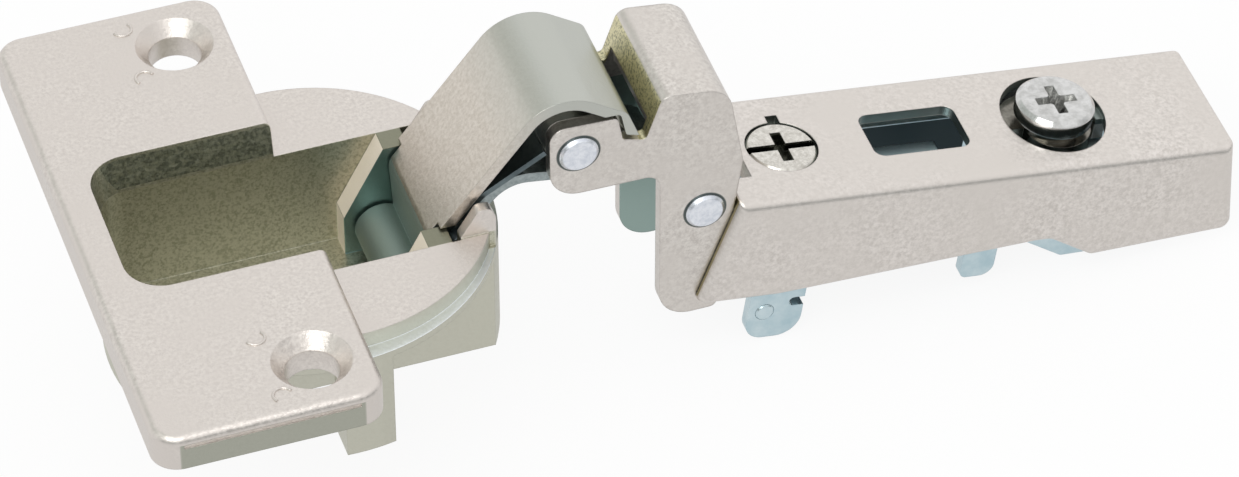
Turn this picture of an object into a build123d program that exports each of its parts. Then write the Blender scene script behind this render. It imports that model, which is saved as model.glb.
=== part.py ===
from build123d import *
from math import atan, cos, degrees, radians, sin, tan
import os

os.makedirs("parts", exist_ok=True)

# Concealed cup hinge for thick doors, modelled in its fully open position.
# Millimetres. Origin on the axis of the cup body at the door face, X along the hinge,
# Y along the hinge pins, Z up out of the door.

# Cup casting
cup_r = 20.0
cup_depth = 14.4
floor_t = 1.3
disc_r = 18.3
disc_x = 1.23
disc_h = 1.9
ledge_h = 0.8
flange_left = -22.8
flange_right = 0.37
flange_half = 30.4
flange_h = 3.95
flange_corner = 2.8
flange_edge = 0.85
groove_w = 0.5
groove_drop = 1.15
screw_pitch = 48.0
screw_x = -5.46
screw_hole = 5.4
countersink = 8.0
pocket_half = 8.83
pocket_flange_half = 9.68
pocket_flange_left = -19.1
pocket_right = 17.9
pocket_corner = 4.0
block_wall = 1.1
boss_face = 6.3
boss_left = 6.6
boss_bend_z = -8.3
boss_slope = 62.0
boss_notch_x = 13.5
boss_notch_z = -2.4
post_set = 1.8
post_len = 3.8
post_in = 7.4
post_out = 8.6
post_h = 3.0
post_crest = 1.9
post_round = 0.6
leg_left = -1.2
leg_right = 3.9
leg_t = 3.7

# Pivots, in the side view
outer_cup_x = 10.4
outer_cup_z = -9.85
inner_cup_x = 15.35
inner_cup_z = -4.75
outer_arm_x = 27.26
outer_arm_z = 6.08
inner_arm_x = 40.54
inner_arm_z = -5.65
run = 0.05
fit = 0.02
cup_pin_r = 1.45
rivet_r = 1.6
inner_rivet_r = 1.15
rivet_head_r = 2.05
rivet_head_h = 0.42
pin_sink = 0.9

# Links
link_t = 1.25
outer_half = 6.95
outer_neck_half = 6.0
outer_eye_half = 5.25
outer_neck_z = 0.3
inner_half = 5.0
inner_eye_half = 3.4
inner_t = 1.15
spring_t = 0.6
spring_end_x = 23.7

# Pivot bracket
ear_out = 6.93
ear_t = 1.4
ear_gap = 0.3
play_half = 3.9
play_back = 6.36

# Arm channel, in its own tilted frame
arm_tilt = 8.39
arm_top = 1.31
arm_t = 1.22
arm_half = 8.27
arm_bend = 1.17
arm_end = 99.1
arm_low = -11.9
deck_front = 44.4
side_screw_x = 51.6
side_screw_head = 7.4
side_screw_shank = 5.0
slot_w = 0.9
slot_deep = 1.1
window_mid = 66.2
window_len = 10.6
window_w = 6.5
window_corner = 1.2
oval_x = 5.5
oval_y = 6.0
depth_screw_x = 81.7
depth_head = 8.3
depth_head_h = 1.9
depth_shank = 5.0
depth_screw_len = 9.0
cross_w = 1.1
cross_len = 4.4

# Clip
clip_half = 6.4
clip_t = 1.2
clip_top = -2.2
hook_front = 48.3
hook_back = 54.3
hook_low = -18.9
rear_hook_front = 71.5
rear_hook_back = 75.2
rear_hook_low = -14.1
latch_pivot_x = 92.0
latch_pivot_z = -5.6
latch_pin_r = 1.2
latch_half = 5.0
clip_end = 95.2
clip_low = -8.4
clip_plate_end = 69.7
clip_plate_edge = 2.0
clip_rear_plate = 76.0
clip_rear_end = 87.6
front_pin_x = 50.1
front_pin_z = -15.4
front_pin_r = 1.0
hook_notch_z = -14.4
hook_notch_w = 1.1
spring_leaf = 0.35
cam_mid_r = 4.5
cam_rise = 1.68
cam_collar_r = 2.95
lug_w = 1.8
lug_low = -1.9

side = Plane.XZ
tilt = radians(arm_tilt)
arm_side = Plane(origin=(0, 0, 0), x_dir=(cos(tilt), 0, -sin(tilt)), z_dir=(0, -1, 0))
arm_deck = Plane(origin=(0, 0, 0), x_dir=(cos(tilt), 0, -sin(tilt)), z_dir=(sin(tilt), 0, cos(tilt)))
post_right = cup_r - post_set
post_left = post_right - post_len
play_end = inner_arm_x + play_back
pocket_step = pocket_flange_half - pocket_half
pocket_left = pocket_flange_left + pocket_step
pocket_round = pocket_corner - pocket_step
pocket_draft = degrees(atan(pocket_step / flange_h))
ear_in = ear_out - ear_t
block_half = pocket_half + block_wall
outer_eye_r = cup_pin_r + run + link_t
hook_eye_r = rivet_r + run + link_t
inner_eye_r = inner_rivet_r + fit + inner_t
inner_cup_eye_r = cup_pin_r - 0.3 + run + inner_t
inner_pin_r = cup_pin_r - 0.3


# Cup, one casting: round body, disc, flange, pocket, pin bosses, corner posts and guide legs
with BuildPart() as cup:
    with BuildSketch(Plane.XY.offset(-cup_depth)):
        Circle(cup_r)
    extrude(amount=cup_depth + post_h)
    # Only the corner posts and the pocket's wall under the flange stand above the ledge
    with BuildSketch(Plane.XY.offset(-disc_h)):
        Rectangle(3 * cup_r, 3 * cup_r)
        with Locations((flange_left, 0)):
            Rectangle(cup_r, 2 * block_half, mode=Mode.SUBTRACT)
        with Locations(((post_left + post_right) / 2, 0)):
            Rectangle(post_right - post_left, 2 * post_out, mode=Mode.SUBTRACT)
        Rectangle(3 * cup_r, 2 * post_in)
    extrude(amount=disc_h + post_h + 1, mode=Mode.SUBTRACT)
    with BuildSketch(side):
        with Locations(((post_left + post_right) / 2, cup_r - disc_h)):
            Rectangle(2 * cup_r, 2 * cup_r)
        with BuildLine():
            FilletPolyline(
                (post_left, -cup_depth),
                (post_left, 0),
                (post_left + post_crest, post_h),
                (post_right - post_round, post_h),
                (post_right, post_h / 2),
                (post_right, -cup_depth),
                close=True,
                radius=post_round,
            )
        make_face(mode=Mode.SUBTRACT)
    extrude(amount=cup_r, both=True, mode=Mode.SUBTRACT)
    # Below the ledge only the pocket block and the two guide legs reach down
    with BuildSketch(Plane.XY.offset(-disc_h - ledge_h)):
        Rectangle(3 * cup_r, 3 * cup_r)
        Rectangle(3 * cup_r, 2 * block_half, mode=Mode.SUBTRACT)
        with Locations(((leg_left + leg_right) / 2, 0)):
            Rectangle(leg_right - leg_left, 3 * cup_r, mode=Mode.SUBTRACT)
        with Locations(
            ((leg_left + leg_right) / 2, (block_half + cup_r - leg_t) / 2),
            ((leg_left + leg_right) / 2, -(block_half + cup_r - leg_t) / 2),
        ):
            Rectangle(leg_right - leg_left, cup_r - leg_t - block_half)
    extrude(amount=-cup_depth, mode=Mode.SUBTRACT)
    # Disc round the pocket
    with BuildSketch(Plane.XY.offset(-disc_h - ledge_h / 2)):
        with Locations((disc_x, 0)):
            Circle(disc_r)
    extrude(amount=disc_h + ledge_h / 2)
    # Screw-on flange, rounded along its top edge
    with BuildSketch(Plane.XY):
        with Locations(((flange_left + flange_right) / 2, 0)):
            RectangleRounded(flange_right - flange_left, 2 * flange_half, flange_corner)
    extrude(amount=flange_h)
    fillet(cup.faces().sort_by(Axis.Z)[-1].edges(), flange_edge)
    # Pocket: it narrows through the flange with a draft, and has a closed floor
    with BuildSketch(Plane.XY.offset(flange_h)):
        with Locations((flange_right + pocket_corner + pocket_flange_left / 2, 0)):
            RectangleRounded(2 * (flange_right + pocket_corner) - pocket_flange_left,
                             2 * pocket_flange_half, pocket_corner)
    extrude(amount=-flange_h, taper=pocket_draft, mode=Mode.SUBTRACT)
    with BuildSketch(Plane.XY.offset(floor_t - cup_depth)):
        with Locations(((pocket_left + pocket_right) / 2, 0)):
            RectangleRounded(pocket_right - pocket_left, 2 * pocket_half, pocket_round)
        with Locations(
            (post_left + cup_r / 2, post_in + cup_r / 2),
            (post_left + cup_r / 2, -post_in - cup_r / 2),
        ):
            Rectangle(cup_r, cup_r, mode=Mode.SUBTRACT)
    extrude(amount=cup_depth - floor_t + flange_h, mode=Mode.SUBTRACT)
    # Pin bosses on both side walls
    for wall in (-1, 1):
        with BuildSketch(side.offset(wall * (boss_face + pocket_half + fit) / 2)):
            with BuildLine():
                Polyline(
                    (boss_left, floor_t / 2 - cup_depth),
                    (boss_left, boss_bend_z),
                    (boss_left - boss_bend_z / tan(radians(boss_slope)), 0),
                    (boss_notch_x, 0),
                    (boss_notch_x, boss_notch_z),
                    (pocket_right + fit, boss_notch_z),
                    (pocket_right + fit, floor_t / 2 - cup_depth),
                    close=True,
                )
            make_face()
        extrude(amount=(pocket_half + fit - boss_face) / 2, both=True)
    # Low middle of the end wall, where the inner link passes out
    with BuildSketch(Plane.XY.offset(boss_notch_z)):
        with Locations((cup_r, 0)):
            Rectangle(2 * (cup_r - boss_notch_x), 2 * post_in)
    extrude(amount=post_h - boss_notch_z, mode=Mode.SUBTRACT)
    # Bores of the two pins, blind in both side walls
    for pivot_x, pivot_z, bore_r in (
        (outer_cup_x, outer_cup_z, cup_pin_r),
        (inner_cup_x, inner_cup_z, inner_pin_r),
    ):
        with BuildSketch(side):
            with Locations((pivot_x, pivot_z)):
                Circle(bore_r + fit)
        extrude(amount=block_half - pin_sink + fit, both=True, mode=Mode.SUBTRACT)
    # Countersunk screw holes in the flange
    for end in (-1, 1):
        with Locations((screw_x, end * screw_pitch / 2, flange_h)):
            CounterSinkHole(screw_hole / 2, countersink / 2)
    # Shallow groove along both long ends of the flange
    for end in (-1, 1):
        with Locations(((flange_left + flange_right) / 2, end * flange_half, flange_h - groove_drop)):
            Box(flange_right - flange_left - 2 * flange_corner, groove_w, groove_w, mode=Mode.SUBTRACT)
cup.part.label = "cup"
export_step(cup.part, "parts/cup.step")


def cross_pin(pivot_x, pivot_z, radius, half):
    with BuildPart() as pin:
        with BuildSketch(side):
            with Locations((pivot_x, pivot_z)):
                Circle(radius)
        extrude(amount=half, both=True)
        chamfer(pin.edges(), radius * 0.15)
    return pin.part


outer_pin = cross_pin(outer_cup_x, outer_cup_z, cup_pin_r, block_half - pin_sink)
outer_pin.label = "outer_link_pin"
export_step(outer_pin, "parts/outer_link_pin.step")

inner_pin = cross_pin(inner_cup_x, inner_cup_z, inner_pin_r, block_half - pin_sink)
inner_pin.label = "inner_link_pin"
export_step(inner_pin, "parts/inner_link_pin.step")


# Outer link: one steel strip, rolled round the cup pin, bent over the hump, turned back in
# the notch of the ears and rolled round the front rivet
with BuildPart() as outer_link:
    with BuildSketch(side):
        with BuildLine():
            FilletPolyline(
                (outer_cup_x + cup_pin_r + run, outer_cup_z),
                (outer_cup_x + 1.0, -1.45),
                (24.75, 15.17),
                (32.4, 9.95),
                (34.75, 3.5),
                (outer_arm_x, outer_arm_z - hook_eye_r),
                radius=(2.2, 5.4, 1.6, 1.65),
            )
            offset(amount=link_t, side=Side.RIGHT)
        make_face()
        with Locations((outer_cup_x, outer_cup_z)):
            Circle(outer_eye_r)
            Circle(cup_pin_r + run, mode=Mode.SUBTRACT)
        with Locations((outer_arm_x, outer_arm_z)):
            Circle(hook_eye_r)
            Circle(rivet_r + run, mode=Mode.SUBTRACT)
    extrude(amount=outer_half, both=True)
    # Narrow neck between the pin bosses and narrow eye between the ears
    for edge in (-1, 1):
        with BuildSketch(side.offset(edge * outer_half)):
            with Locations((outer_cup_x, outer_neck_z - cup_r)):
                Rectangle(2 * cup_r, 2 * cup_r)
        extrude(amount=outer_half - outer_neck_half, both=True, mode=Mode.SUBTRACT)
        with BuildSketch(side.offset(edge * outer_half)):
            with BuildLine():
                FilletPolyline(
                    (23.6, -1.0), (23.6, 10.3), (31.7, 9.95), (32.25, 7.1), (36.5, 5.7), (36.5, -1.0),
                    close=True, radius=0.5,
                )
            make_face()
        extrude(amount=outer_half - outer_eye_half, both=True, mode=Mode.SUBTRACT)
outer_link.part.label = "outer_link"
export_step(outer_link.part, "parts/outer_link.step")


# Closing spring: steel leaf that lies against the outer link and presses on its front eye
with BuildPart() as closing_spring:
    with BuildSketch(side):
        with BuildLine():
            FilletPolyline(
                (14.92, 0.9), (17.02, 3.52), (spring_end_x, 7.35),
                radius=3.0,
            )
            offset(amount=spring_t, side=Side.RIGHT)
        make_face()
    extrude(amount=outer_half - 0.05, both=True)
closing_spring.part.label = "closing_spring"
export_step(closing_spring.part, "parts/closing_spring.step")


# Inner link: steel strip from the second cup pin over the end wall into the bracket
with BuildPart() as inner_link:
    with BuildSketch(side):
        with BuildLine():
            FilletPolyline(
                (inner_cup_x - 0.7071 * inner_cup_eye_r, inner_cup_z + 0.7071 * inner_cup_eye_r),
                (20.26, 3.48),
                (34.0, 1.15),
                (inner_arm_x + 0.5253 * inner_eye_r, inner_arm_z + 0.8509 * inner_eye_r),
                radius=(5.0, 4.0),
            )
            offset(amount=inner_t, side=Side.RIGHT)
        make_face()
        with Locations((inner_cup_x, inner_cup_z)):
            Circle(inner_cup_eye_r)
            Circle(inner_pin_r + run, mode=Mode.SUBTRACT)
        with Locations((inner_arm_x, inner_arm_z)):
            Circle(inner_eye_r)
            Circle(inner_rivet_r + fit, mode=Mode.SUBTRACT)
    extrude(amount=inner_half, both=True)
    for edge in (-1, 1):
        with BuildSketch(side.offset(edge * inner_half)):
            with Locations((inner_arm_x + 1, inner_arm_z)):
                Rectangle(8, 12)
        extrude(amount=inner_half - inner_eye_half, both=True, mode=Mode.SUBTRACT)
inner_link.part.label = "inner_link"
export_step(inner_link.part, "parts/inner_link.step")

rivet_shank = cross_pin(inner_arm_x, inner_arm_z, inner_rivet_r, play_half - ear_gap)
rivet_shank.label = "inner_rivet_shank"
export_step(rivet_shank, "parts/inner_rivet_shank.step")


# Pivot bracket: two ears joined by the folded hump and by a tail plate inside the arm
with BuildPart() as bracket:
    with BuildSketch(side):
        with BuildLine():
            FilletPolyline(
                (24.3, 9.75),
                (31.4, 9.45),
                (31.9, 6.5),
                (34.3, 5.8),
                (36.1, 11.0),
                (43.0, 10.0),
                (45.6, -6.4),
                (43.9, -14.5),
                (41.6, -19.3),
                (35.7, -19.3),
                (35.8, 0.6),
                (24.3, 0.75),
                close=True,
                radius=(1.6, 0.5, 0.5, 0.5, 1.4, 3.2, 1.0, 0.6, 0.8, 3.4, 1.6, 3.2),
            )
        make_face()
    extrude(amount=ear_out, both=True)
    # Hollow between the ears, under the hump
    with BuildSketch(side):
        with BuildLine():
            FilletPolyline(
                (20.0, -22.0),
                (20.0, 12.0),
                (34.0, 12.0),
                (35.3, 5.4),
                (36.5, 5.4),
                (37.4, 9.4),
                (41.9, 8.75),
                (44.9, -7.6),
                (50.0, -22.0),
                close=True,
                radius=(0.5, 0.5, 0.4, 0.3, 0.3, 0.6, 2.0, 0.5, 0.5),
            )
        make_face()
    extrude(amount=ear_in, both=True, mode=Mode.SUBTRACT)
    # Opening at the back of the hump, for the inner link's eye
    with BuildSketch(arm_side):
        with Locations((46, 0)):
            Rectangle(8, 8.4)
    extrude(amount=play_half, both=True, mode=Mode.SUBTRACT)
    # Rear of the ears and tail plate under the arm's deck
    with BuildSketch(arm_deck.offset(arm_top - arm_t - 0.05)):
        with Locations(((play_end + 57.5) / 2 + 0.4, 0)):
            Rectangle(57.5 - play_end, 2 * ear_out)
    extrude(amount=-1.5)
    for edge in (-1, 1):
        with BuildSketch(arm_side.offset(edge * (ear_in + ear_out) / 2)):
            with Locations((46.2, -0.8)):
                Rectangle(4.4, 1.5)
        extrude(amount=ear_t / 2, both=True)
    # Threaded hole of the side screw
    with BuildSketch(arm_deck):
        with Locations((side_screw_x, 0)):
            Circle(side_screw_shank / 2 + run)
    extrude(amount=6, both=True, mode=Mode.SUBTRACT)
    # Rivet bores
    for pivot_x, pivot_z, bore_r in (
        (outer_arm_x, outer_arm_z, rivet_r),
        (inner_arm_x, inner_arm_z, inner_rivet_r + 0.35),
    ):
        with BuildSketch(side):
            with Locations((pivot_x, pivot_z)):
                Circle(bore_r + fit)
        extrude(amount=ear_out + 1, both=True, mode=Mode.SUBTRACT)
    # Nothing of the ears stands above the underside of the arm's deck behind its front edge
    with BuildSketch(arm_side):
        with Locations((deck_front - ear_gap + cup_r, arm_top - arm_t - run + cup_r)):
            Rectangle(2 * cup_r, 2 * cup_r)
    extrude(amount=ear_out + 1, both=True, mode=Mode.SUBTRACT)
bracket.part.label = "pivot_bracket"
export_step(bracket.part, "parts/pivot_bracket.step")


# Front rivet with its two domed heads
with BuildPart() as outer_rivet:
    with BuildSketch(side):
        with Locations((outer_arm_x, outer_arm_z)):
            Circle(rivet_r)
    extrude(amount=ear_out, both=True)
    for face in (-1, 1):
        with BuildSketch(side.offset(face * (ear_out + rivet_head_h / 2 + fit))):
            with Locations((outer_arm_x, outer_arm_z)):
                Circle(rivet_head_r)
        extrude(amount=rivet_head_h / 2 + fit, both=True)
    chamfer(outer_rivet.faces().sort_by(Axis.Y)[0].edges(), 0.3)
    chamfer(outer_rivet.faces().sort_by(Axis.Y)[-1].edges(), 0.3)
outer_rivet.part.label = "outer_rivet"
export_step(outer_rivet.part, "parts/outer_rivet.step")


# Riveted ends of the rear rivet, one in each ear
with BuildPart() as rivet_heads:
    for face in (-1, 1):
        with BuildSketch(side.offset(face * (ear_in + ear_out) / 2)):
            with Locations((inner_arm_x, inner_arm_z)):
                Circle(inner_rivet_r + 0.35)
        extrude(amount=ear_t / 2, both=True)
        with BuildSketch(side.offset(face * (ear_out + rivet_head_h / 2 + fit))):
            with Locations((inner_arm_x, inner_arm_z)):
                Circle(rivet_head_r)
        extrude(amount=rivet_head_h / 2 + fit, both=True)
    chamfer(rivet_heads.faces().sort_by(Axis.Y)[0].edges(), 0.3)
    chamfer(rivet_heads.faces().sort_by(Axis.Y)[-1].edges(), 0.3)
rivet_heads.part.label = "inner_rivet_heads"
export_step(rivet_heads.part, "parts/inner_rivet_heads.step")


# Arm: folded channel with a raked front, window, screw holes and a notched lower edge
with BuildPart() as arm:
    with BuildSketch(arm_side):
        with BuildLine():
            FilletPolyline(
                (deck_front, arm_top),
                (arm_end, arm_top),
                (arm_end + 2.1, arm_low + 1.5),
                (latch_pivot_x - 6.7, arm_low),
                (latch_pivot_x - 11.7, arm_low + 2.9),
                (latch_pivot_x - 13.4, arm_low + 2.9),
                (deck_front + 6.1, arm_low),
                (deck_front - 2.9, arm_low),
                close=True,
                radius=(0.3, 0.3, 1.3, 1.2, 1.6, 1.6, 8.0, 0.8),
            )
        make_face()
    extrude(amount=arm_half, both=True)
    long_edges = arm.edges().filter_by(Axis((0, 0, 0), arm_deck.x_dir))
    fillet(long_edges.sort_by(Axis((0, 0, 0), arm_deck.z_dir))[-2:], arm_bend)
    with BuildSketch(arm_side):
        with Locations(((arm_end + inner_arm_x) / 2, arm_top - arm_t - cup_r)):
            Rectangle(arm_end, 2 * cup_r)
    extrude(amount=arm_half - arm_t, both=True, mode=Mode.SUBTRACT)
    with BuildSketch(arm_deck):
        with Locations((side_screw_x, 0)):
            Circle(side_screw_head / 2 + 0.12)
        with Locations((side_screw_x + 0.5, side_screw_head / 2 + 0.4)):
            Rectangle(1.3, 1.5)
        with Locations((window_mid, 0)):
            RectangleRounded(window_len, window_w, window_corner)
        with Locations((depth_screw_x, 0)):
            Ellipse(oval_x, oval_y)
        with Locations((play_end - 4, 0)):
            Rectangle(8, 2 * play_half)
    extrude(amount=4, both=True, mode=Mode.SUBTRACT)
    # Lug at the rear rim of the oval hole, bent down against the depth cam's edge
    with BuildSketch(arm_deck.offset(arm_top - arm_t / 2)):
        with Locations((depth_screw_x + cam_mid_r + 2 * run + arm_t / 2, 0)):
            Rectangle(arm_t, lug_w)
    extrude(amount=lug_low - arm_top + arm_t / 2)
arm.part.label = "arm"
export_step(arm.part, "parts/arm.step")


# Side adjusting screw, flush with the deck, slotted and cross-recessed
with BuildPart() as side_screw:
    with BuildSketch(arm_deck.offset(arm_top)):
        with Locations((side_screw_x, 0)):
            Circle(side_screw_head / 2)
    extrude(amount=-(arm_t - 0.1))
    chamfer(side_screw.faces().sort_by(Axis((0, 0, 0), arm_deck.z_dir))[-1].edges(), 0.25)
    with BuildSketch(arm_deck.offset(arm_top)):
        with Locations((side_screw_x, 0)):
            Circle(side_screw_shank / 2)
    extrude(amount=clip_top + ear_gap - arm_top)
    with BuildSketch(arm_deck.offset(arm_top)):
        with Locations((side_screw_x, 0)):
            Rectangle(side_screw_head + 1, slot_w)
            Rectangle(slot_w * 1.3, cross_len)
    extrude(amount=-slot_deep, mode=Mode.SUBTRACT)
side_screw.part.label = "side_screw"
export_step(side_screw.part, "parts/side_screw.step")


# Clip frame: folded sheet with the front and rear hooks that grip the mounting plate
with BuildPart() as clip_frame:
    for edge in (-1, 1):
        with BuildSketch(arm_side.offset(edge * (clip_half - clip_t / 2))):
            with BuildLine():
                FilletPolyline(
                    (hook_front, clip_top),
                    (clip_end, clip_top),
                    (clip_end, clip_low),
                    (rear_hook_back, clip_low),
                    (rear_hook_back, rear_hook_low),
                    (rear_hook_front, rear_hook_low),
                    (rear_hook_front, clip_low),
                    (hook_back, clip_low),
                    (hook_back, hook_low),
                    (hook_front, hook_low),
                    close=True,
                    radius=(0.4, 1.5, 1.5, 0.6, 1.5, 0.8, 0.8, 0.8, 2.6, 2.0),
                )
            make_face()
        extrude(amount=clip_t / 2, both=True)
    with BuildSketch(arm_deck.offset(clip_top)):
        with Locations(((hook_front + clip_plate_end) / 2, 0)):
            Rectangle(clip_plate_end - hook_front, 2 * clip_half)
        with Locations(((clip_rear_plate + clip_rear_end) / 2, 0)):
            Rectangle(clip_rear_end - clip_rear_plate, 2 * clip_half)
        with Locations((window_mid + 1, clip_plate_edge + 5)):
            Rectangle(window_len + 4, 10, mode=Mode.SUBTRACT)
        with Locations((depth_screw_x, 0)):
            Circle(depth_shank / 2 + run, mode=Mode.SUBTRACT)
        for edge in (-1, 1):
            with Locations(((hook_front + clip_end) / 2, edge * (clip_half - clip_t / 2))):
                Rectangle(clip_end - hook_front, clip_t)
    extrude(amount=-clip_t)
    with BuildSketch(arm_side):
        with Locations((front_pin_x, front_pin_z)):
            Circle(front_pin_r + fit)
        with Locations((latch_pivot_x, latch_pivot_z)):
            Circle(latch_pin_r + fit)
        with Locations((hook_back - hook_notch_w / 2, hook_notch_z)):
            RectangleRounded(2 * hook_notch_w, hook_notch_w, 0.48 * hook_notch_w)
    extrude(amount=clip_half + 1, both=True, mode=Mode.SUBTRACT)
clip_frame.part.label = "clip_frame"
export_step(clip_frame.part, "parts/clip_frame.step")


def clip_pin(pin_x, pin_z, radius, half):
    with BuildPart() as pin:
        with BuildSketch(arm_side):
            with Locations((pin_x, pin_z)):
                Circle(radius)
        extrude(amount=half, both=True)
        chamfer(pin.edges(), radius * 0.15)
    return pin.part


front_pin = clip_pin(front_pin_x, front_pin_z, front_pin_r, clip_half + 0.15)
front_pin.label = "front_pin"
export_step(front_pin, "parts/front_pin.step")

latch_pin = clip_pin(latch_pivot_x, latch_pivot_z, latch_pin_r, clip_half + 0.15)
latch_pin.label = "latch_pin"
export_step(latch_pin, "parts/latch_pin.step")


# Latch: folded lever with two cheeks, a front bridge and a thumb plate, on the latch pin
with BuildPart() as clip_latch:
    with BuildSketch(arm_side):
        with BuildLine():
            FilletPolyline(
                (79.0, -9.3),
                (79.0, -11.4),
                (83.5, -14.0),
                (86.3, -13.9),
                (89.2, -10.6),
                (96.6, -9.3),
                (98.0, -5.5),
                (97.0, -3.3),
                (90.4, -3.3),
                (84.5, -8.9),
                close=True,
                radius=0.7,
            )
        make_face()
    extrude(amount=latch_half, both=True)
    with BuildSketch(arm_side):
        with Locations((latch_pivot_x - 12.0, latch_pivot_z - 2.4)):
            Rectangle(13.0, 14)
        with Locations((latch_pivot_x - 0.25, latch_pivot_z - 2.4)):
            Rectangle(8.1, 14)
        with Locations((latch_pivot_x - 4.8, latch_pivot_z + 1.4)):
            Rectangle(6.0, 10)
        with Locations((latch_pivot_x - 4.8, latch_pivot_z - 7.4)):
            Rectangle(6.0, 5.2)
    extrude(amount=latch_half - clip_t, both=True, mode=Mode.SUBTRACT)
    with BuildSketch(arm_side):
        with Locations((latch_pivot_x, latch_pivot_z)):
            Circle(latch_pin_r + run)
    extrude(amount=latch_half + 1, both=True, mode=Mode.SUBTRACT)
clip_latch.part.label = "clip_latch"
export_step(clip_latch.part, "parts/clip_latch.step")


# Latch spring: leaf under the frame's rear plate, bent down onto the latch's bridge
with BuildPart() as latch_spring:
    with BuildSketch(arm_side):
        with BuildLine():
            FilletPolyline(
                (85.4, clip_top - clip_t),
                (89.6, clip_top - clip_t),
                (87.6, -8.9),
                radius=1.2,
            )
            offset(amount=spring_leaf, side=Side.RIGHT)
        make_face()
    extrude(amount=2.6, both=True)
latch_spring.part.label = "latch_spring"
export_step(latch_spring.part, "parts/latch_spring.step")


# Depth screw with its wide cross-recessed head, standing above the deck
with BuildPart() as depth_screw:
    with BuildSketch(arm_deck.offset(arm_top + 0.1)):
        with Locations((depth_screw_x, 0)):
            Circle(depth_head / 2)
    extrude(amount=depth_head_h)
    chamfer(depth_screw.faces().sort_by(Axis((0, 0, 0), arm_deck.z_dir))[-1].edges(), 0.45)
    with BuildSketch(arm_deck.offset(arm_top + 0.1)):
        with Locations((depth_screw_x, 0)):
            Circle(depth_shank / 2)
    extrude(amount=-depth_screw_len)
    with BuildSketch(arm_deck.offset(arm_top + 0.1 + depth_head_h)):
        with Locations((depth_screw_x, 0)):
            Rectangle(cross_len, cross_w)
            Rectangle(cross_w, cross_len)
            Circle(cross_w * 0.85)
    extrude(amount=-2.2, taper=12, mode=Mode.SUBTRACT)
depth_screw.part.label = "depth_screw"
export_step(depth_screw.part, "parts/depth_screw.step")


# Depth cam: spiral plate under the deck with a collar up to the screw's head. Its edge runs
# along the lug of the arm, so that each turn shifts the clip along the arm
with BuildPart() as depth_cam:
    with BuildSketch(arm_deck.offset(clip_top + run)):
        with BuildLine():
            rim = Spline([
                (
                    depth_screw_x + (cam_mid_r + cam_rise * turn / 180) * cos(radians(turn)),
                    (cam_mid_r + cam_rise * turn / 180) * sin(radians(turn)),
                )
                for turn in range(-180, 181, 30)
            ])
            Line(rim @ 1, rim @ 0)
        make_face()
    extrude(amount=arm_top - arm_t - ear_gap - clip_top)
    with BuildSketch(arm_deck.offset(clip_top + run)):
        with Locations((depth_screw_x, 0)):
            Circle(cam_collar_r)
    extrude(amount=arm_top - clip_top)
    with BuildSketch(arm_deck):
        with Locations((depth_screw_x, 0)):
            Circle(depth_shank / 2 + fit)
    extrude(amount=2 * cam_mid_r, both=True, mode=Mode.SUBTRACT)
depth_cam.part.label = "depth_cam"
export_step(depth_cam.part, "parts/depth_cam.step")
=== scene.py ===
import math

import bmesh
import bpy
from mathutils import Matrix, Vector


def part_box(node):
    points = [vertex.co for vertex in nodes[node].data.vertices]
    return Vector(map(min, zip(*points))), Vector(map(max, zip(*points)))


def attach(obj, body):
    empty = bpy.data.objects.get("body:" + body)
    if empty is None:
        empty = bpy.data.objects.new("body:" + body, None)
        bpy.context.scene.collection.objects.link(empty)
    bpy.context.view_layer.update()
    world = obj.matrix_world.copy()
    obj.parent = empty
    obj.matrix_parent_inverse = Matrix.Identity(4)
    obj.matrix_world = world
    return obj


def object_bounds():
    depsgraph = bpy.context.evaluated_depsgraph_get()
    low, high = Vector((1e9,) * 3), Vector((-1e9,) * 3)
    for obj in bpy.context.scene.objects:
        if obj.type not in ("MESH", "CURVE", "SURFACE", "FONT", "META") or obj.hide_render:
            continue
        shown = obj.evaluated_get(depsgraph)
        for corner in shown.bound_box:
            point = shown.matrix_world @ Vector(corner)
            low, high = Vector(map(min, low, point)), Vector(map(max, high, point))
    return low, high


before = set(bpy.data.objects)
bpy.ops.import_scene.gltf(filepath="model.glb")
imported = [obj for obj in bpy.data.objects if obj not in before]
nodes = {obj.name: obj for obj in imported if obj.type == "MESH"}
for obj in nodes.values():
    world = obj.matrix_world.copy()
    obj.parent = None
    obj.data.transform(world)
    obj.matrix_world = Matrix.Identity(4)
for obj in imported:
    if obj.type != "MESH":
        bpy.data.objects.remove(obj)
cad_low, cad_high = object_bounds()
mm = 0.001


# Cup: zinc die casting with the flange, the disc and the pin bosses in one piece. It is barrel
# plated with satin nickel, which stays grainy on the cast skin; the pocket is painted warm with shade.
def srgb(code):
    channels = [int(code[i:i + 2], 16) / 255 for i in (1, 3, 5)]
    return [c / 12.92 if c <= 0.04045 else ((c + 0.055) / 1.055) ** 2.4 for c in channels] + [1.0]


def add_node(tree, kind, settings=(), links=()):
    node = tree.nodes.new(kind)
    for name, value in dict(settings).items():
        if name in node.inputs:
            node.inputs[name].default_value = value
        else:
            setattr(node, name, value)
    for name, socket in dict(links).items():
        tree.links.new(socket, node.inputs[name])
    return node


def start_material(name):
    material = bpy.data.materials.new(name)
    material.use_nodes = True
    tree = material.node_tree
    tree.nodes.clear()
    place = add_node(tree, "ShaderNodeTexCoord").outputs["Object"]
    return material, tree, place


def per_millimetre(size):
    return 1 / (size * mm)


def mixed(tree, share, first, second):
    mix = add_node(tree, "ShaderNodeMix", {"data_type": "RGBA"})
    tree.links.new(share, mix.inputs["Factor"])
    for socket, value in ((mix.inputs[6], first), (mix.inputs[7], second)):
        if isinstance(value, str):
            socket.default_value = srgb(value)
        else:
            tree.links.new(value, socket)
    return mix.outputs[2]


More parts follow.
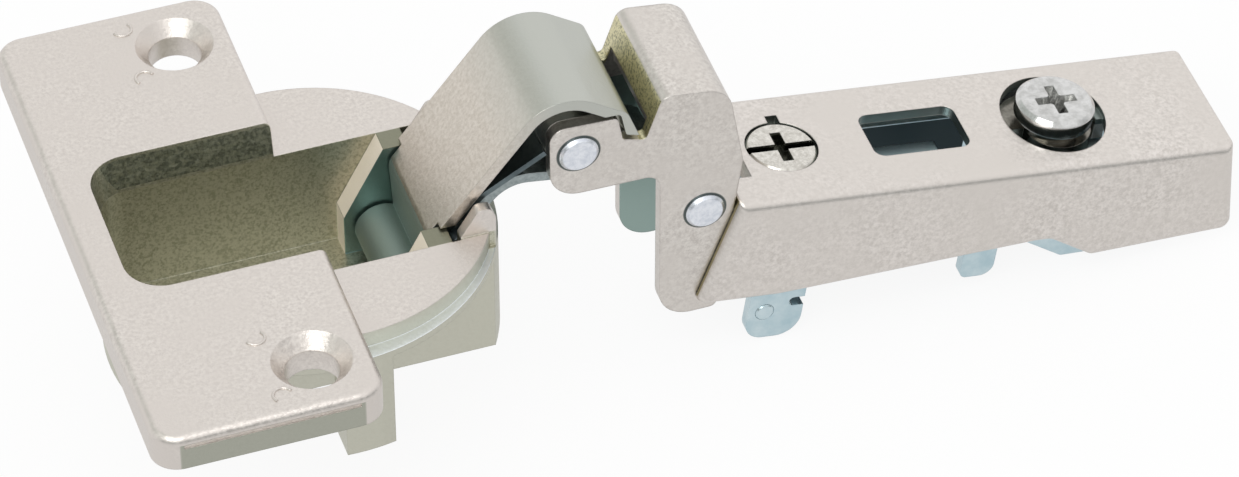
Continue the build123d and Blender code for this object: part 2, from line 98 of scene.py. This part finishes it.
def grain(tree, place, size, low, high):
    noise = add_node(tree, "ShaderNodeTexNoise", {"Scale": per_millimetre(size), "Detail": 3.0,
                                                  "Roughness": 0.65}, {"Vector": place})
    ramp = add_node(tree, "ShaderNodeMapRange", {"From Min": low, "From Max": high},
                    {"Value": noise.outputs["Fac"]})
    return ramp.outputs["Result"]


def finish_metal(tree, colour, rough, bumps, bump_depth, edge_radius):
    edge = add_node(tree, "ShaderNodeBevel", {"samples": 6, "Radius": edge_radius * mm})
    bump = add_node(tree, "ShaderNodeBump", {"Strength": 1.0, "Distance": bump_depth * mm},
                    {"Height": bumps, "Normal": edge.outputs["Normal"]})
    shader = add_node(tree, "ShaderNodeBsdfPrincipled", {"Metallic": 1.0},
                      {"Normal": bump.outputs["Normal"], "Base Color": colour})
    if isinstance(rough, float):
        shader.inputs["Roughness"].default_value = rough
    else:
        tree.links.new(rough, shader.inputs["Roughness"])
    add_node(tree, "ShaderNodeOutputMaterial", (), {"Surface": shader.outputs["BSDF"]})
    return shader


def dress(name, material):
    nodes[name].data.materials.clear()
    nodes[name].data.materials.append(material)


def past(tree, vector, direction, start, end):
    along = add_node(tree, "ShaderNodeVectorMath", {"operation": "DOT_PRODUCT"}, {0: vector})
    along.inputs[1].default_value = direction
    share = add_node(tree, "ShaderNodeMapRange", {"From Min": start * mm, "From Max": end * mm},
                     {"Value": along.outputs["Value"]})
    return share.outputs["Result"]


def inside(tree, *limits):
    share = None
    for vector, direction, start in limits:
        limit = past(tree, vector, direction, start, start + skin)
        if share is not None:
            product = add_node(tree, "ShaderNodeMath", {"operation": "MULTIPLY"}, {0: share, 1: limit})
            limit = product.outputs["Value"]
        share = limit
    return share


def either(tree, first, second):
    larger = add_node(tree, "ShaderNodeMath", {"operation": "MAXIMUM"}, {0: first, 1: second})
    return larger.outputs["Value"]


def both_sides(tree, place):
    folded = add_node(tree, "ShaderNodeVectorMath", {"operation": "ABSOLUTE"}, {0: place})
    return folded.outputs["Vector"]


outward, inward = (0, 1, 0), (0, -1, 0)
rearward, forward = (1, 0, 0), (-1, 0, 0)
upward, downward = (0, 0, 1), (0, 0, -1)
skin = 0.03
flange_top = 3.95
flange_right = 0.37
flange_end = 30.4
flange_straight = 3.1
ledge_top = -1.9
ledge_inner = 9.0
flange_pocket_half = 9.69
flange_pocket_left = -19.12
pocket_half = 8.83
pocket_left = -18.37
pocket_right = 17.89
pocket_floor = -13.12
shade_low, shade_high = 0.3, 3.6
boss_face = 6.3
boss_left = 6.6
boss_top_left, boss_top_right = 10.5, 14.3
rim_slope = math.radians(62)
rim_normal = (-math.sin(rim_slope), 0, math.cos(rim_slope))
rim_level = -9.75

cast_nickel, tree, place = start_material("cast_nickel")
halves = both_sides(tree, place)
cast_grain = grain(tree, place, 0.4, 0.35, 0.65)
cast_speck = grain(tree, place, 0.3, 0.45, 0.62)
cast_cloud = grain(tree, place, 9.0, 0.3, 0.7)
cast_tone = mixed(tree, cast_grain, "#d3ccc6", "#ece6e0")
cast_tone = mixed(tree, cast_cloud, cast_tone, "#dfd8d2")

# The skin is greener below the disc. A painted highlight whitens the ledge,
# and painted shade darkens the flange's side.
low_skin = inside(tree, (place, downward, 2 * skin))
cast_tone = mixed(tree, low_skin, cast_tone, "#cccbbd")
ledge = inside(tree, (place, downward, -ledge_top - 0.04), (place, upward, ledge_top - 0.04),
               (halves, outward, ledge_inner))
cast_tone = mixed(tree, ledge, cast_tone, "#f8fdff")
flange_side_painted_shade = inside(tree, (place, inward, flange_end - 0.05), (place, downward, -flange_straight))
cast_tone = mixed(tree, flange_side_painted_shade, cast_tone, "#b1b2a6")

# The pocket is painted with olive, speckled shade, darkest in a painted shadow band where its far wall meets
# the flange.
flange_well = inside(tree, (halves, inward, -flange_pocket_half - skin),
                     (place, downward, skin - flange_top), (place, upward, 0.02),
                     (place, rearward, flange_pocket_left - skin), (place, forward, 0.04 - flange_right))
body_well = inside(tree, (halves, inward, -pocket_half - skin), (place, downward, -0.02),
                   (place, upward, pocket_floor - skin), (place, rearward, pocket_left - skin),
                   (place, forward, -pocket_right - skin))
pocket_painted_shade = mixed(tree, cast_speck, "#c9c7b6", "#a9a895")
shade_speck = grain(tree, place, 0.5, 0.4, 0.6)
shade_tone = mixed(tree, shade_speck, "#83877b", "#b9bbab")
shaded_edge = inside(tree, (place, outward, pocket_half - skin), (place, upward, shade_low),
                     (place, downward, -shade_high))
pocket_painted_shade = mixed(tree, shaded_edge, pocket_painted_shade, shade_tone)
cast_tone = mixed(tree, either(tree, flange_well, body_well), cast_tone, pocket_painted_shade)

# The pin bosses are painted with shade, bluish on their sides and dark on their tops, and
# their rim is painted cream as a highlight and made less metallic there.
boss_side_shade = inside(tree, (halves, inward, -boss_face - 0.04), (halves, outward, boss_face - 0.1),
                   (place, rearward, boss_left), (place, downward, 0.02),
                   (place, upward, pocket_floor - skin), (place, forward, -pocket_right - skin))
cast_tone = mixed(tree, boss_side_shade, cast_tone, "#8fa7a2")
boss_top = inside(tree, (halves, outward, boss_face - 0.06), (halves, inward, 0.02 - pocket_half),
                  (place, upward, -0.1), (place, downward, -0.1),
                  (place, rearward, boss_top_left), (place, forward, -boss_top_right))
cast_tone = mixed(tree, boss_top, cast_tone, "#8f8f7d")
rim_limits = ((halves, outward, boss_face + 0.02), (halves, inward, skin - pocket_half),
              (place, downward, 0.02), (place, upward, pocket_floor - skin))
slanted_rim = inside(tree, (place, rim_normal, rim_level - skin), (place, rearward, boss_left + 0.04),
                     *rim_limits)
upright_rim = inside(tree, (place, forward, -boss_left - 0.04), (place, rearward, boss_left - 0.04),
                     *rim_limits)
rim = either(tree, slanted_rim, upright_rim)
cast_tone = mixed(tree, rim, cast_tone, "#f6ead8")
cast_rough = add_node(tree, "ShaderNodeMapRange", {"To Min": 0.34, "To Max": 0.46}, {"Value": cast_grain})
cast_shader = finish_metal(tree, cast_tone, cast_rough.outputs["Result"], cast_grain, 0.012, 0.18)
cast_metal = add_node(tree, "ShaderNodeMapRange", {"To Min": 1.0, "To Max": 0.1}, {"Value": rim})
tree.links.new(cast_metal.outputs["Result"], cast_shader.inputs["Metallic"])
dress("cup", cast_nickel)


# Flange marks: four small half rings on the flange, two beside each screw hole. They are cast
# with the cup, plain, and have its satin nickel.
mark_radius = 0.95
mark_wire = 0.16
mark_places = ((-9.86, 27.77, 200), (-9.63, 20.01, 20), (-9.76, -19.43, 200), (-9.44, -27.75, 20))
marks_mesh = bmesh.new()
for mark_x, mark_y, start_angle in mark_places:
    centre = Vector((mark_x, mark_y, flange_top)) * mm
    turn = Matrix.Rotation(math.radians(start_angle), 4, "Z")
    stand = Matrix.Translation(centre) @ turn @ Matrix.Translation((mark_radius * mm, 0, 0))
    upright = Matrix.Rotation(math.radians(90), 4, "X")
    ring = bmesh.ops.create_circle(marks_mesh, cap_ends=True, segments=10, radius=mark_wire * mm,
                                   matrix=stand @ upright)
    faces = list({face for vert in ring["verts"] for face in vert.link_faces})
    bmesh.ops.spin(marks_mesh, geom=faces, cent=centre, axis=(0, 0, 1), angle=math.radians(200), steps=18,
                   use_duplicate=False)
bmesh.ops.recalc_face_normals(marks_mesh, faces=marks_mesh.faces)
marks_data = bpy.data.meshes.new("flange_marks")
marks_mesh.to_mesh(marks_data)
marks_mesh.free()
flange_marks = bpy.data.objects.new("flange_marks", marks_data)
bpy.context.collection.objects.link(flange_marks)
flange_marks.data.materials.append(cast_nickel)
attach(flange_marks, "cup")


# Link pins: ground steel rods seated blind in the cup's side walls. Only their middles can be
# seen, between the eye of a link and the bosses.
ground_steel, tree, place = start_material("ground_steel")
ground_lines = grain(tree, place, 0.3, 0.4, 0.6)
ground_tone = mixed(tree, ground_lines, "#a7acb2", "#c6cad0")
finish_metal(tree, ground_tone, 0.24, ground_lines, 0.004, 0.08)
for pin in ("outer_link_pin", "inner_link_pin", "inner_rivet_shank", "latch_pin"):
    dress(pin, ground_steel)


# Outer link: a steel strip bent over a form and rolled round its pins, satin nickel plated.
# Its faces keep the fine grain of the rolled sheet, its crest is greyer, and its foot in the
# cup is rougher and painted bluish as the shaded reflection of the pocket.
strip_nickel, tree, place = start_material("strip_nickel")
strip_grain = grain(tree, place, 0.4, 0.35, 0.65)
strip_tone = mixed(tree, strip_grain, "#cfc7bc", "#e2dbd2")
crest_start, crest_full = 19.0, 25.0
crest = past(tree, place, rearward, crest_start, crest_full)
strip_tone = mixed(tree, crest, strip_tone, "#c3c5be")
foot_top = -1.2
link_foot_painted_shade = inside(tree, (place, downward, -foot_top))
strip_tone = mixed(tree, link_foot_painted_shade, strip_tone, "#9caaa3")
strip_rough = add_node(tree, "ShaderNodeMapRange", {"To Min": 0.36, "To Max": 0.6}, {"Value": link_foot_painted_shade})
finish_metal(tree, strip_tone, strip_rough.outputs["Result"], strip_grain, 0.008, 0.15)
dress("outer_link", strip_nickel)


# Inner link: the second strip of the linkage, zinc plated and left bluish grey, riveted at the
# rear between the bracket's ears.
strip_zinc, tree, place = start_material("strip_zinc")
zinc_grain = grain(tree, place, 0.5, 0.35, 0.65)
zinc_tone = mixed(tree, zinc_grain, "#8d9798", "#abb4b4")
finish_metal(tree, zinc_tone, 0.33, zinc_grain, 0.006, 0.12)
dress("inner_link", strip_zinc)


# Springs: the closing spring under the outer link and the latch's leaf. They are hardened and
# tempered steel strip, oiled and nearly black blue.
tempered_steel, tree, place = start_material("tempered_steel")
temper_cloud = grain(tree, place, 2.5, 0.35, 0.65)
temper_tone = mixed(tree, temper_cloud, "#566063", "#6f7b7e")
finish_metal(tree, temper_tone, 0.3, temper_cloud, 0.003, 0.06)
for spring in ("closing_spring", "latch_spring"):
    dress(spring, tempered_steel)


# Pivot bracket: folded from thick sheet, two ears and the hump between them, nickel plated and
# tumbled, so its cut edges are soft. The rings round the rivets are dark, and the face
# of the hump that leans over the link has a yellowish speckle.
bracket_nickel, tree, place = start_material("bracket_nickel")
bracket_grain = grain(tree, place, 0.45, 0.35, 0.65)
bracket_cloud = grain(tree, place, 7.0, 0.3, 0.7)
bracket_tone = mixed(tree, bracket_grain, "#cbc5bf", "#e9e4de")
bracket_tone = mixed(tree, bracket_cloud, bracket_tone, "#dbd5cf")
halves = both_sides(tree, place)
ear_in, ear_out = 5.6, 6.9
ear_top, ear_back = 3.4, 40.0
# The inner faces of the ears, between them, are painted bluish grey as shade.
ear_inner_shade = inside(tree, (halves, inward, -ear_in), (place, downward, -ear_top),
                   (place, forward, -ear_back))
bracket_tone = mixed(tree, ear_inner_shade, bracket_tone, "#9aaea8")
hump_lean = math.radians(19.1)
hump_normal = (-math.cos(hump_lean), 0, math.sin(hump_lean))
hump_level = -30.6
hump_foot, hump_left = 5.4, 33.6
hump_face = inside(tree, (place, hump_normal, hump_level), (place, upward, hump_foot),
                   (place, rearward, hump_left), (halves, inward, -ear_out))
hump_speck = grain(tree, place, 0.3, 0.45, 0.65)
hump_tone = mixed(tree, hump_speck, "#e6dfb9", "#9c9a80")
bracket_tone = mixed(tree, hump_face, bracket_tone, hump_tone)
ring_inner, ring_outer = 2.25, 2.35
for pivot in ("outer_rivet", "inner_rivet_heads"):
    rivet_low, rivet_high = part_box(pivot)
    shifted = add_node(tree, "ShaderNodeVectorMath", {"operation": "SUBTRACT"}, {0: place})
    shifted.inputs[1].default_value = (rivet_low + rivet_high) / 2
    flat = add_node(tree, "ShaderNodeVectorMath", {"operation": "MULTIPLY"}, {0: shifted.outputs["Vector"]})
    flat.inputs[1].default_value = (1, 0, 1)
    reach = add_node(tree, "ShaderNodeVectorMath", {"operation": "LENGTH"}, {0: flat.outputs["Vector"]})
    near = add_node(tree, "ShaderNodeMapRange", {"From Min": ring_outer * mm, "From Max": ring_inner * mm},
                    {"Value": reach.outputs["Value"]})
    bracket_tone = mixed(tree, near.outputs["Result"], bracket_tone, "#5d6462")
finish_metal(tree, bracket_tone, 0.36, bracket_grain, 0.008, 0.3)
dress("pivot_bracket", bracket_nickel)


# Rivets: soft steel pins headed cold over the bracket's ears. They were zinc plated before and
# are brighter than the nickel round them.
rivet_zinc, tree, place = start_material("rivet_zinc")
rivet_grain = grain(tree, place, 0.6, 0.35, 0.65)
rivet_tone = mixed(tree, rivet_grain, "#dadfe8", "#f1f4fa")
finish_metal(tree, rivet_tone, 0.34, rivet_grain, 0.006, 0.1)
for rivet in ("outer_rivet", "inner_rivet_heads"):
    dress(rivet, rivet_zinc)


# Arm: folded channel of steel sheet with punched holes, satin nickel plated. The deck has the
# same fine grain as the bracket. The sheared front edge is brownish, and the walls of the holes
# are dull grey.
arm_nickel, tree, place = start_material("arm_nickel")
arm_grain = grain(tree, place, 0.45, 0.35, 0.65)
arm_cloud = grain(tree, place, 11.0, 0.3, 0.7)
arm_tone = mixed(tree, arm_grain, "#d0cac4", "#ede7e2")
arm_tone = mixed(tree, arm_cloud, arm_tone, "#ded8d2")
arm_tilt = math.radians(8.39)
along_arm = Vector((math.cos(arm_tilt), 0, -math.sin(arm_tilt)))
off_arm = Vector((math.sin(arm_tilt), 0, math.cos(arm_tilt)))
deck_top = 1.31
deck_front = 44.4
arm_low = -11.9
arm_half = 8.2
rake = math.atan2(2.9, deck_top - arm_low)
rake_normal = (-math.cos(arm_tilt + rake), 0, math.sin(arm_tilt + rake))
rake_level = deck_top * math.sin(rake) - deck_front * math.cos(rake)
halves = both_sides(tree, place)
front_edge = inside(tree, (place, rake_normal, rake_level - 0.05), (halves, inward, -arm_half))
arm_tone = mixed(tree, front_edge, arm_tone, "#a39b78")
holes_front, holes_back, holes_half = 47.0, 92.0, 6.9
hole_wall = inside(tree, (place, off_arm, 0.0), (place, -off_arm, 0.04 - deck_top),
                   (halves, inward, -holes_half), (place, along_arm, holes_front),
                   (place, forward, -holes_back))
arm_tone = mixed(tree, hole_wall, arm_tone, "#87908c")
finish_metal(tree, arm_tone, 0.36, arm_grain, 0.008, 0.22)
dress("arm", arm_nickel)


# Side screw: turned steel with a slot and a cross, nickel plated, flush with the deck. The cuts
# are painted dark as shade.
screw_nickel, tree, place = start_material("screw_nickel")
screw_grain = grain(tree, place, 0.5, 0.35, 0.65)
screw_tone = mixed(tree, screw_grain, "#c9c5bd", "#e6e3dc")
slot_level = 1.0
screw_slot_shade = inside(tree, (place, -off_arm, -slot_level))
screw_tone = mixed(tree, screw_slot_shade, screw_tone, "#45473f")
finish_metal(tree, screw_tone, 0.26, screw_grain, 0.004, 0.12)
dress("side_screw", screw_nickel)


# Clip: frame, latch and pin pressed from thin sheet and blue passivated after zinc plating. The
# inside of the frame under the window is painted dark as shade.
blue_zinc, tree, place = start_material("blue_zinc")
blue_cloud = grain(tree, place, 3.0, 0.3, 0.7)
blue_tone = mixed(tree, blue_cloud, "#b4cdd6", "#d3e3e8")
cheek_in = 5.3
cheek_front, cheek_back = 58.0, 75.0
cheek_top, cheek_low = -2.3, -8.3
cheek_inner_shade = inside(tree, (both_sides(tree, place), inward, -cheek_in),
                     (place, along_arm, cheek_front), (place, -along_arm, -cheek_back),
                     (place, -off_arm, -cheek_top), (place, off_arm, cheek_low))
blue_tone = mixed(tree, cheek_inner_shade, blue_tone, "#2b3538")
finish_metal(tree, blue_tone, 0.3, blue_cloud, 0.004, 0.12)
for clip_piece in ("clip_frame", "front_pin", "clip_latch"):
    dress(clip_piece, blue_zinc)


# Depth screw and its cam: the screw is turned steel with a bright, nearly mirror plating, and the
# cam under it is pressed steel, left dark.
bright_plate, tree, place = start_material("bright_plate")
plate_haze = grain(tree, place, 1.2, 0.35, 0.65)
plate_tone = mixed(tree, plate_haze, "#c2c2c0", "#dfdfde")
finish_metal(tree, plate_tone, 0.14, plate_haze, 0.002, 0.15)
dress("depth_screw", bright_plate)

dark_plate, tree, place = start_material("dark_plate")
cam_haze = grain(tree, place, 0.8, 0.35, 0.65)
cam_tone = mixed(tree, cam_haze, "#6f6c65", "#8f8c84")
finish_metal(tree, cam_tone, 0.2, cam_haze, 0.002, 0.1)
dress("depth_cam", dark_plate)


# Floor: a matt white sheet of paper a little below the hinge. The camera sees it as plain white,
# and it takes a faint shadow.
floor_gap = 0.5
floor_size = 4.0
floor_middle = 40
bpy.ops.mesh.primitive_plane_add(size=floor_size, location=(floor_middle * mm, 0, cad_low.z - floor_gap * mm))
floor = bpy.context.object
floor.name = "floor"
paper, tree, place = start_material("paper")
rays = add_node(tree, "ShaderNodeLightPath")
seen = either(tree, rays.outputs["Is Camera Ray"], rays.outputs["Is Glossy Ray"])
matt = add_node(tree, "ShaderNodeBsdfDiffuse", {"Color": srgb("#f2f2f2")})
reflected_level, plain_share = 0.81, 0.9
level = add_node(tree, "ShaderNodeMapRange", {"To Min": reflected_level, "To Max": 1.0},
                 {"Value": rays.outputs["Is Camera Ray"]})
white = add_node(tree, "ShaderNodeEmission", {"Color": (1, 1, 1, 1)},
                 {"Strength": level.outputs["Result"]})
share = add_node(tree, "ShaderNodeMapRange", {"To Max": plain_share}, {"Value": seen})
lit = add_node(tree, "ShaderNodeMixShader", (), {0: share.outputs["Result"], 1: matt.outputs["BSDF"],
                                                 2: white.outputs["Emission"]})
add_node(tree, "ShaderNodeOutputMaterial", (), {"Surface": lit.outputs["Shader"]})
floor.data.materials.append(paper)


# Room: a white world with a dim band low at the front, which draws a dark line along rounded
# metal edges, and a softer left side. One large soft box stands at the front left.
world = bpy.data.worlds.new("studio")
bpy.context.scene.world = world
world.use_nodes = True
tree = world.node_tree
tree.nodes.clear()
room_place = add_node(tree, "ShaderNodeTexCoord").outputs["Generated"]
heading = add_node(tree, "ShaderNodeSeparateXYZ", (), {"Vector": room_place}).outputs


def room_part(first, first_from, first_to, second, second_from, second_to):
    across = add_node(tree, "ShaderNodeMapRange", {"From Min": first_from, "From Max": first_to},
                      {"Value": heading[first]})
    height = add_node(tree, "ShaderNodeMapRange", {"From Min": second_from, "From Max": second_to},
                      {"Value": heading[second]})
    part = add_node(tree, "ShaderNodeMath", {"operation": "MULTIPLY"},
                    {0: across.outputs["Result"], 1: height.outputs["Result"]})
    return part.outputs["Value"]


sky_tone = mixed(tree, room_part("X", 0.1, -0.4, "Z", 0.2, 0.5), "#fbfbfb", "#cfd3cf")
sky_tone = mixed(tree, room_part("Y", 0.0, -0.4, "Z", 0.45, 0.1), sky_tone, "#4d5857")
rays = add_node(tree, "ShaderNodeLightPath")
dim = add_node(tree, "ShaderNodeBackground", {"Strength": 1.0}, {"Color": sky_tone})
plain = add_node(tree, "ShaderNodeBackground", {"Color": (1, 1, 1, 1), "Strength": 1.0})
room = add_node(tree, "ShaderNodeMixShader", (), {0: rays.outputs["Is Camera Ray"],
                                                  1: dim.outputs["Background"],
                                                  2: plain.outputs["Background"]})
add_node(tree, "ShaderNodeOutputWorld", (), {"Surface": room.outputs["Shader"]})


def soft_box(name, place, aim, size, power):
    data = bpy.data.lights.new(name, "AREA")
    data.shape = "RECTANGLE"
    data.size = size[0]
    data.size_y = size[1]
    data.energy = power
    box = bpy.data.objects.new(name, data)
    bpy.context.collection.objects.link(box)
    box.location = place
    box.rotation_mode = "QUATERNION"
    box.rotation_quaternion = (aim - place).to_track_quat("-Z", "Y")


middle = (cad_low + cad_high) / 2
key_place = Vector((-250, -350, 550)) * mm
key_size = (450 * mm, 450 * mm)
key_watts = 2.0
soft_box("key_box", key_place, middle, key_size, key_watts)


# Camera: a long lens from the front left and above, as in a catalogue picture. Its place and
# its turn were fitted to the edges of the flange and the arm.
lens_mm = 185.92
camera_place = Vector((-117.10, -447.66, 434.11)) * mm
look = Vector((0.231854, 0.687702, -0.687975))
right = Vector((0.946611, -0.322363, -0.003218))
up = right.cross(look)
data = bpy.data.cameras.new("catalogue_camera")
data.lens = lens_mm
data.sensor_width = 36.0
data.clip_start = 0.01
data.clip_end = 50.0
camera = bpy.data.objects.new("catalogue_camera", data)
bpy.context.collection.objects.link(camera)
turned_axes = Matrix((right, up, -look)).transposed()
camera.matrix_world = Matrix.Translation(camera_place) @ turned_axes.to_4x4()
bpy.context.scene.camera = camera
bpy.context.scene.view_settings.view_transform = "Standard"
